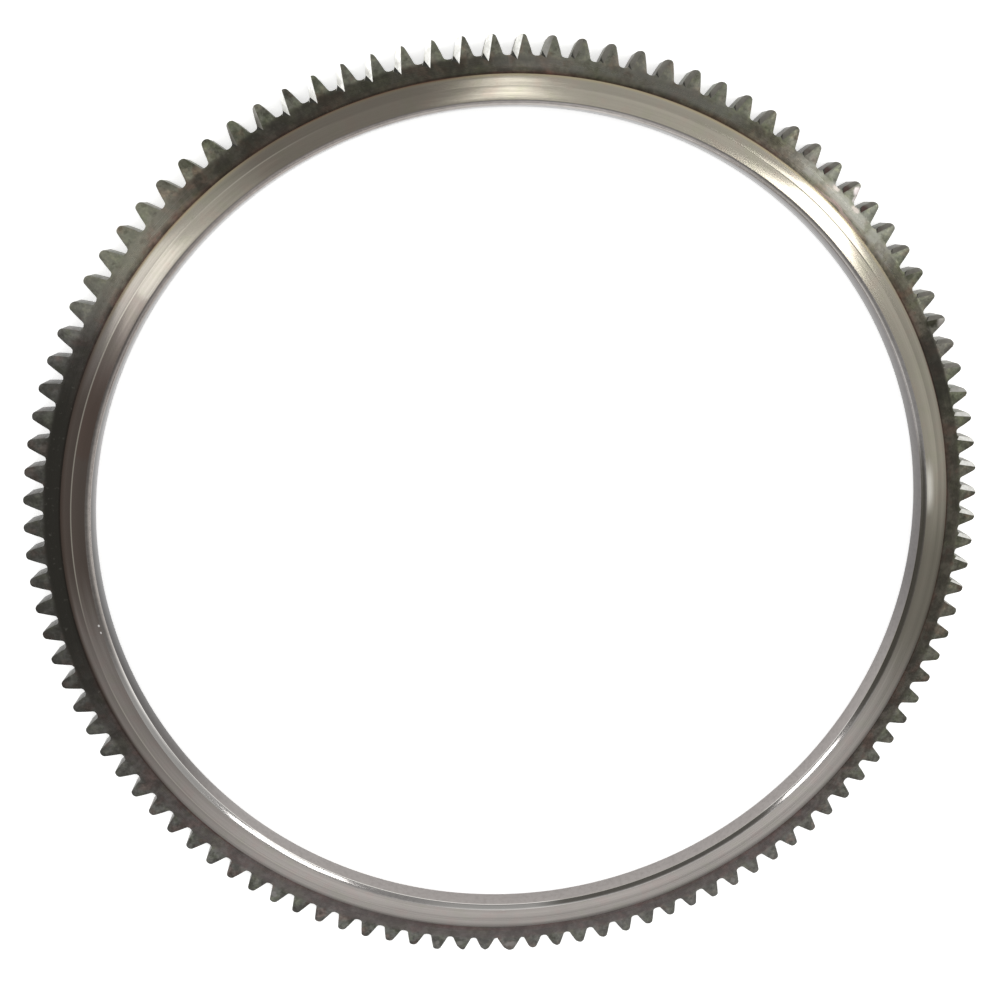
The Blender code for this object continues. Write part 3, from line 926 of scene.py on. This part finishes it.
def toothed_colour(tree, finish, radii, sizes):
    """Hardened band and teeth, with oil, wear and single marks."""
    mix, tint, times, ramp, sector = tree.mix, tree.tint, tree.times, tree.ramp, tree.sector
    radius, teeth, grime, step = tree.radius, tree.teeth, tree.grime, radii.step
    dark = mix(teeth, finish.hardened_steel, finish.tooth_steel)
    green = times(ramp(tree.blotches, 0.40, 0.65),
                  tree.math("MULTIPLY_ADD", tree.top_right, 0.75, 0.25))
    for mask, shade in (
        (ramp(tree.mottle, 0.42, 0.60), (0.60, 0.59, 0.58)),
        (ramp(grime, 0.46, 0.58), (0.78, 0.78, 0.75)),
        (ramp(grime, 0.44, 0.34), (1.15, 1.14, 1.10)),
        (tree.reddish, (1.12, 0.93, 0.91)),
        (tree.greenish, (0.97, 1.02, 0.91)),
        (sector(YELLOWED_TEETH), (0.93, 0.93, 0.78)),
        (green, (0.91, 1.00, 0.88)),
    ):
        dark = tint(mask, dark, shade)
    # Painted shadow: band and teeth darkened over one stretch near the top
    dark = mix(times(sector(SHADOWED_TEETH), 0.35), dark, PAINTED_SHADOW)
    pale_band = times(sector(PALE_BAND), tree.outside(teeth), 0.40)
    dark = mix(pale_band, dark, PALE_STEEL)

    band_top = sizes.ring_width - sizes.face_step
    below_top = ramp(tree.height, band_top - 0.0002, band_top - 0.0005)
    on_flank = times(teeth, below_top)
    # Painted highlights: the band lightened over the stretches where the lamps shine on the ring
    for stretch, strength in LIT_BAND:
        worn = times(
            sector(stretch, 0.06),
            strength,
            ramp(tree.mottle, 0.36, 0.56, 0.3, 1.0),
            ramp(teeth, 0.0, 1.0, 1.0, 0.75),
            tree.outside(on_flank),
            ramp(radius, step + 0.0005, step + 0.0020))
        dark = mix(worn, dark, PAINTED_BAND_HIGHLIGHT)
    dark = tint(sector(STRAW_TEETH), dark, (1.02, 1.0, 0.90))
    for stretch, strength in PALE_TEETH:
        pale = times(sector(stretch), teeth, strength)
        dark = mix(pale, dark, PALE_TOOTH)
    on_top = times(teeth, tree.outside(on_flank))
    for start, end, shade in ((0.53, 0.62, (1.28, 1.26, 1.20)), (0.47, 0.38, (0.70, 0.69, 0.68))):
        dark = tint(times(on_top, ramp(tree.speckle, start, end)), dark, shade)
    dark = tint(times(on_flank, sector(SHADED_FLANKS)), dark, SHADED_TINT)

    near_step = ramp(radius, step + 0.0024, step + 0.0003)
    pink = times(near_step, ramp(tree.wide_streaks, 0.38, 0.62), 0.70)
    dark = tint(pink, dark, PINK_TINT)
    for stretch, strength, on_teeth in OILY_BAND:
        oily = times(sector(stretch, 0.16), strength, ramp(teeth, 0.0, 1.0, 1.0, on_teeth))
        dark = mix(oily, dark, finish.oily_steel)
    pale_step = tree.greatest(sector(PALE_STEP), sector(LIT_STEP))
    step_line = times(ramp(radius, step + 0.0007, step + 0.0002),
                      ramp(pale_step, 0.0, 1.0, 0.75, 0.08))
    dark = tint(step_line, dark, STEP_TINT)

    # A pink line that waves along the step and swells away from it at one place
    crest = tree.math("MULTIPLY_ADD", sector(RIPPLE_CREST), 0.0011, step + 0.0002)
    wavy = tree.math("MULTIPLY_ADD", tree.mottle, 0.0012, tree.math("SUBTRACT", crest, 0.0006))
    ripple = times(tree.near(wavy, 0.0002, 0.0006), sector(RIPPLE), 0.50)
    dark = mix(ripple, dark, finish.pink_tint)
    dark = mix(ramp(grime, 0.58, 0.82, 0.0, 0.3), dark, DUST)
    # Single marks, the pale ones near 48 degrees painted glints
    for colour, spot, strength in BAND_MARKS_AND_GLINTS:
        dark = mix(times(tree.spot(*spot), strength), dark, colour)
    return dark


def steel_finish(finish, radii, sizes):
    """Turned and hardened steel, laid out by radius and by direction from the ring's axis."""
    material = new_material("Worn ring steel")
    tree = SteelTree(material.node_tree, radii)
    mouth, toothed, teeth = tree.mouth, tree.toothed, tree.teeth
    face = bright_face_colour(tree, finish, radii)
    face = tree.mix(mouth, face, mouth_colour(tree, finish, radii, sizes))
    # Pale specks on the chamfer, two of them painted glints
    for speck_and_glint in CHAMFER_SPECKS_AND_GLINTS:
        face = tree.mix(tree.times(tree.spot(*speck_and_glint), 0.85), face, SPECK_AND_GLINT)
    colour = tree.mix(toothed, face, toothed_colour(tree, finish, radii, sizes))

    gloss = finish.gloss_roughness
    roughness = tree.ramp(tree.streaks, 0.30, 0.70, gloss - 0.03, gloss + 0.03)
    for mask, rougher in ((toothed, 0.14), (teeth, 0.08), (mouth, -0.05)):
        roughness = tree.math("MULTIPLY_ADD", mask, rougher, roughness)
    relief = tree.math("ADD", tree.times(tree.streaks, tree.outside(toothed)),
                       tree.times(tree.grime, toothed))
    stretched = tree.times(
        tree.ramp(mouth, 0.0, 1.0, 1.0, 0.25),
        tree.ramp(teeth, 0.0, 1.0, finish.anisotropy, finish.anisotropy * 0.4))
    tree.surface({
        "Base Color": colour,
        "Metallic": tree.ramp(toothed, 0.0, 1.0, 1.0, 0.75),
        "Roughness": roughness,
        "Anisotropic": stretched,
        "Anisotropic Rotation": 0.25,
        "Normal": tree.bump(relief, 0.08),
        "Tangent": tree.node("ShaderNodeTangent", direction_type="RADIAL", axis="Z").outputs[0],
    })
    return material


def ground_finish(finish):
    """Steel ground by the starter, with painted light and shade: nearly white on two stretches of
    the ring where it catches the lamps, dark elsewhere.
    """
    material = new_material("Ground steel")
    tree = Tree(material.node_tree)
    place = tree.node("ShaderNodeTexCoord").outputs["Object"]
    flat = tree.vector("MULTIPLY", place, (1.0, 1.0, 0.0))
    radius = tree.vector("LENGTH", flat)
    outward = tree.vector("NORMALIZE", flat)
    scratches = tree.noise(place, *SCRATCHES)
    # Painted light and shade: lead-ins lit on two stretches, dark elsewhere
    lit_stretches = tree.greatest(tree.sector_from(outward, LIT_LEAD_INS),
                          tree.times(tree.sector_from(outward, HALF_LIT_LEAD_INS), 0.66))
    lead_in_colour = tree.mix(lit_stretches, finish.shaded_ground_steel, finish.lit_ground_steel)
    rust = tree.times(tree.sector_from(outward, RUSTY_LEAD_INS),
                      tree.ramp(tree.noise(place, *STAINS), 0.30, 0.48),
                      tree.ramp(radius, 0.1402, 0.1388))
    lead_in_colour = tree.mix(rust, lead_in_colour, RUST)
    tree.surface({
        "Base Color": tree.tint(tree.ramp(scratches, 0.35, 0.70), lead_in_colour, (0.82, 0.82, 0.80)),
        "Metallic": 0.30,
        "Roughness": tree.ramp(scratches, 0.3, 0.7, 0.30, 0.42),
        "Normal": tree.bump(scratches, 0.06),
    })
    return material


def wall_shadow_finish(finish):
    """Painted shadow on the wall at the inner end of a lead-in."""
    material = new_material("Painted wall shadow")
    Tree(material.node_tree).surface({
        "Base Color": finish.painted_wall_shadow, "Metallic": 0.3, "Roughness": 0.6})
    return material


class RINGGEAR_OT_ring(bpy.types.Operator):
    """Adds the ring with its teeth, wear and finish"""

    bl_idname = "ringgear.ring"
    bl_label = "Ring"

    def execute(self, context):
        sizes = context.scene.ring_gear_sizes
        finish = context.scene.ring_gear_finish
        radii = Radii(sizes)
        steel = steel_finish(finish, radii, sizes)
        deselect_everything()
        ring = add_turned_body(sizes, radii)
        ring.data.materials.append(steel)
        teeth = add_tooth(sizes, radii)
        teeth.data.materials.append(steel)
        batter_teeth(teeth, radii)
        cut(ring, teeth, "UNION")
        cutter = add_lead_in_cutter(sizes, radii)
        cutter.data.materials.append(ground_finish(finish))
        cutter.data.materials.append(wall_shadow_finish(finish))
        cut(ring, cutter, "DIFFERENCE")
        break_edges(ring, sizes.edge_break)
        ring.name = "Finished_ring"
        if len(ring.data.polygons) < TOOTH_COUNT:
            raise RuntimeError("the ring has lost its faces")
        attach(ring, "root")
        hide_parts(NODE)
        return {"FINISHED"}


def floor_finish(stage):
    """Pale matt floor that looks white to the camera and in gloss, and still takes shadow."""
    material = new_material("Pale floor")
    tree = Tree(material.node_tree)
    rays = tree.node("ShaderNodeLightPath").outputs
    seen = tree.greatest(rays["Is Camera Ray"], rays["Is Glossy Ray"],
                         rays["Is Transmission Ray"])
    tree.surface({
        "Base Color": stage.floor_colour,
        "Roughness": 0.9,
        "Specular IOR Level": 0.1,
        "Emission Color": WHITE,
        "Emission Strength": tree.times(seen, stage.floor_glow),
    })
    return material


def add_floor(stage):
    bpy.ops.mesh.primitive_plane_add(size=FLOOR_SIZE, location=(0.0, 0.0, NODE_LOW.z))
    floor = bpy.context.object
    floor.name = "Floor"
    bpy.ops.object.transform_apply(location=True, rotation=True, scale=True)
    floor.data.materials.append(floor_finish(stage))


def add_sky(stage):
    """Even light all round, white behind the object, and dimmer overhead in polished steel."""
    world = bpy.data.worlds.new("Studio")
    world.use_nodes = True
    tree = Tree(world.node_tree)
    rays = tree.node("ShaderNodeLightPath").outputs
    up = tree.separate(tree.node("ShaderNodeTexCoord").outputs["Generated"])[2]
    wall = stage.ceiling_edge_level
    gloss = tree.math("ADD", tree.ramp(up, *HORIZON, 1.0, wall),
                      tree.ramp(up, *CEILING, 0.0, stage.overhead_level - wall))
    gloss = tree.math("SUBTRACT", gloss, tree.ramp(up, *ZENITH, 0.0, stage.zenith_drop))
    reflected = tree.greatest(rays["Is Glossy Ray"], rays["Is Transmission Ray"])
    level = tree.choose(reflected, stage.sky_level, gloss)
    strength = tree.choose(rays["Is Camera Ray"], level, 1.0)
    background = tree.node("ShaderNodeBackground", {"Color": WHITE, "Strength": strength})
    tree.node("ShaderNodeOutputWorld", {"Surface": background.outputs[0]})
    bpy.context.scene.world = world


def add_lamps(stage):
    for name, place, target, width, length, brightness in LAMPS:
        lamp = bpy.data.lights.new(name, "AREA")
        lamp.shape = "RECTANGLE"
        lamp.size = width
        lamp.size_y = length
        lamp.energy = brightness * stage.lamp_level * math.pi * width * length
        thing = add_object(name, lamp)
        back = (Vector(place) - Vector(target)).normalized()
        along = Vector((-target[1], target[0], 0.0)).normalized()
        across = back.cross(along).normalized()
        thing.matrix_world = placed(across.cross(back), across, back, Vector(place))
        thing.visible_camera = False


def add_camera(stage):
    camera = add_object("Camera", bpy.data.cameras.new("Camera"))
    forward = (CAMERA_AIM - CAMERA_PLACE).normalized()
    level_up = (Vector((0, 1, 0)) - forward * forward.y).normalized()
    level_right = forward.cross(level_up)
    up = level_up * math.cos(CAMERA_ROLL) + level_right * math.sin(CAMERA_ROLL)
    camera.matrix_world = placed(forward.cross(up), up, -forward, CAMERA_PLACE)
    camera.data.lens = stage.lens
    camera.data.sensor_width = SENSOR_WIDTH
    camera.data.shift_x, camera.data.shift_y = CAMERA_SHIFT
    bpy.context.scene.camera = camera
    bpy.context.scene.view_settings.view_transform = "Standard"


class RINGGEAR_OT_stage(bpy.types.Operator):
    """Adds the floor, sky, lamps and camera"""

    bl_idname = "ringgear.stage"
    bl_label = "Stage"

    def execute(self, context):
        stage = context.scene.ring_gear_stage
        deselect_everything()
        add_floor(stage)
        add_sky(stage)
        add_lamps(stage)
        add_camera(stage)
        return {"FINISHED"}


class RINGGEAR_PT_panel(bpy.types.Panel):
    """Lists the ring, its sizes and finish, and the stage"""

    bl_idname = "RINGGEAR_PT_panel"
    bl_label = "Ring gear"
    bl_space_type = "VIEW_3D"
    bl_region_type = "UI"
    bl_category = "Ring gear"

    def draw(self, context):
        scene = context.scene
        for group in (scene.ring_gear_sizes, scene.ring_gear_finish, scene.ring_gear_stage):
            box = self.layout.box()
            for name in group.__annotations__:
                box.prop(group, name)
        self.layout.operator(RINGGEAR_OT_ring.bl_idname)
        self.layout.operator(RINGGEAR_OT_stage.bl_idname)


CLASSES = (
    RingGearSizes,
    RingGearFinish,
    RingGearStage,
    RINGGEAR_OT_ring,
    RINGGEAR_OT_stage,
    RINGGEAR_PT_panel,
)


def register():
    for kind in CLASSES:
        bpy.utils.register_class(kind)
    bpy.types.Scene.ring_gear_sizes = bpy.props.PointerProperty(type=RingGearSizes)
    bpy.types.Scene.ring_gear_finish = bpy.props.PointerProperty(type=RingGearFinish)
    bpy.types.Scene.ring_gear_stage = bpy.props.PointerProperty(type=RingGearStage)


def unregister():
    del bpy.types.Scene.ring_gear_stage
    del bpy.types.Scene.ring_gear_finish
    del bpy.types.Scene.ring_gear_sizes
    for kind in reversed(CLASSES):
        bpy.utils.unregister_class(kind)


def main():
    register()
    bpy.ops.ringgear.ring()
    bpy.ops.ringgear.stage()


if __name__ == "__main__":
    main()
